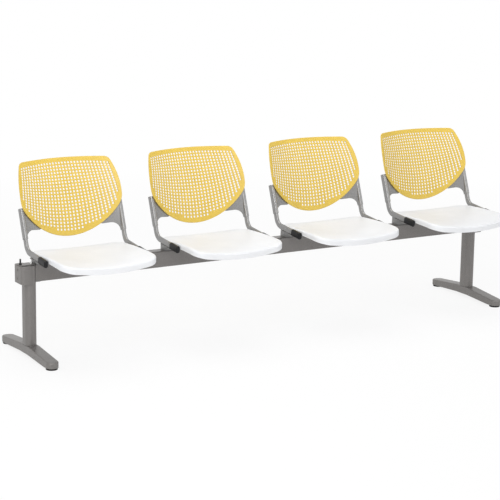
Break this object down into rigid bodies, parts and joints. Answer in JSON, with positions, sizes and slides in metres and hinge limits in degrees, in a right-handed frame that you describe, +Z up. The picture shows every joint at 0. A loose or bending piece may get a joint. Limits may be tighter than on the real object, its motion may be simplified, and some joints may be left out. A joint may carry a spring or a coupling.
{
  "type": "beam seating",
  "caption": "Beam bench with side-by-side chairs: white moulded seats and yellow perforated backs on grey tube frames, on one beam between arched T legs with levelling glides.",
  "frame": {"origin": "centre of the bounding box's base, on the floor", "axes": "+X along the bench to the right as seen from the front, -Y towards the sitter's knees, +Z up"},
  "size_m": [2.384, 0.61, 0.8041],
  "materials": {
    "back_plastic": "satin moulded polypropylene, fine grain",
    "seat_plastic": "satin moulded polypropylene, fine grain",
    "cap_plastic": "black moulded plastic",
    "glide_plastic": "black moulded plastic",
    "frame_coat": "silver grey powder coat",
    "under_coat": "grey powder coat",
    "beam_coat": "warm grey powder coat",
    "zinc_bolt": "bright zinc plated",
    "dark_bolt": "blackened steel"
  },
  "bodies": {
    "bench": {"back_bracket_left_1": "frame_coat", "back_bracket_left_2": "frame_coat", "back_bracket_left_3": "frame_coat", "back_bracket_left_4": "frame_coat", "back_bracket_right_1": "frame_coat", "back_bracket_right_2": "frame_coat", "back_bracket_right_3": "frame_coat", "back_bracket_right_4": "frame_coat", "back_screws": "dark_bolt", "back_shell_1": "back_plastic", "back_shell_2": "back_plastic", "back_shell_3": "back_plastic", "back_shell_4": "back_plastic", "beam_brackets_1": "under_coat", "beam_brackets_2": "under_coat", "beam_brackets_3": "under_coat", "beam_brackets_4": "under_coat", "beam_saddle_left": "beam_coat", "beam_saddle_right": "beam_coat", "beam_tube": "beam_coat", "bracket_bolts": "dark_bolt", "clamp_bolts": "beam_coat", "cover_bolts": "zinc_bolt", "cross_straps_1": "under_coat", "cross_straps_2": "under_coat", "cross_straps_3": "under_coat", "cross_straps_4": "under_coat", "foot_bolts": "dark_bolt", "foot_left": "beam_coat", "foot_right": "beam_coat", "leg_cover_left": "beam_coat", "leg_cover_right": "beam_coat", "post_clamp_left": "beam_coat", "post_clamp_right": "beam_coat", "post_left": "beam_coat", "post_right": "beam_coat", "seat_screws": "dark_bolt", "seat_shell_1": "seat_plastic", "seat_shell_2": "seat_plastic", "seat_shell_3": "seat_plastic", "seat_shell_4": "seat_plastic", "side_tube_left_1": "frame_coat", "side_tube_left_2": "frame_coat", "side_tube_left_3": "frame_coat", "side_tube_left_4": "frame_coat", "side_tube_right_1": "frame_coat", "side_tube_right_2": "frame_coat", "side_tube_right_3": "frame_coat", "side_tube_right_4": "frame_coat", "tube_end_caps_1": "cap_plastic", "tube_end_caps_2": "cap_plastic", "tube_end_caps_3": "cap_plastic", "tube_end_caps_4": "cap_plastic"},
    "glide_front_left_body": {"glide_front_left": "glide_plastic"},
    "glide_front_right_body": {"glide_front_right": "glide_plastic"},
    "glide_rear_left_body": {"glide_rear_left": "glide_plastic"},
    "glide_rear_right_body": {"glide_rear_right": "glide_plastic"}
  },
  "joints": [
    {"name": "glide_front_left_level", "type": "slide", "parent": "bench", "child": "glide_front_left_body", "axis": [0, 0, -1], "range_m": [0, 0.01]},
    {"name": "glide_front_right_level", "type": "slide", "parent": "bench", "child": "glide_front_right_body", "axis": [0, 0, -1], "range_m": [0, 0.01]},
    {"name": "glide_rear_left_level", "type": "slide", "parent": "bench", "child": "glide_rear_left_body", "axis": [0, 0, -1], "range_m": [0, 0.01]},
    {"name": "glide_rear_right_level", "type": "slide", "parent": "bench", "child": "glide_rear_right_body", "axis": [0, 0, -1], "range_m": [0, 0.01]}
  ]
}
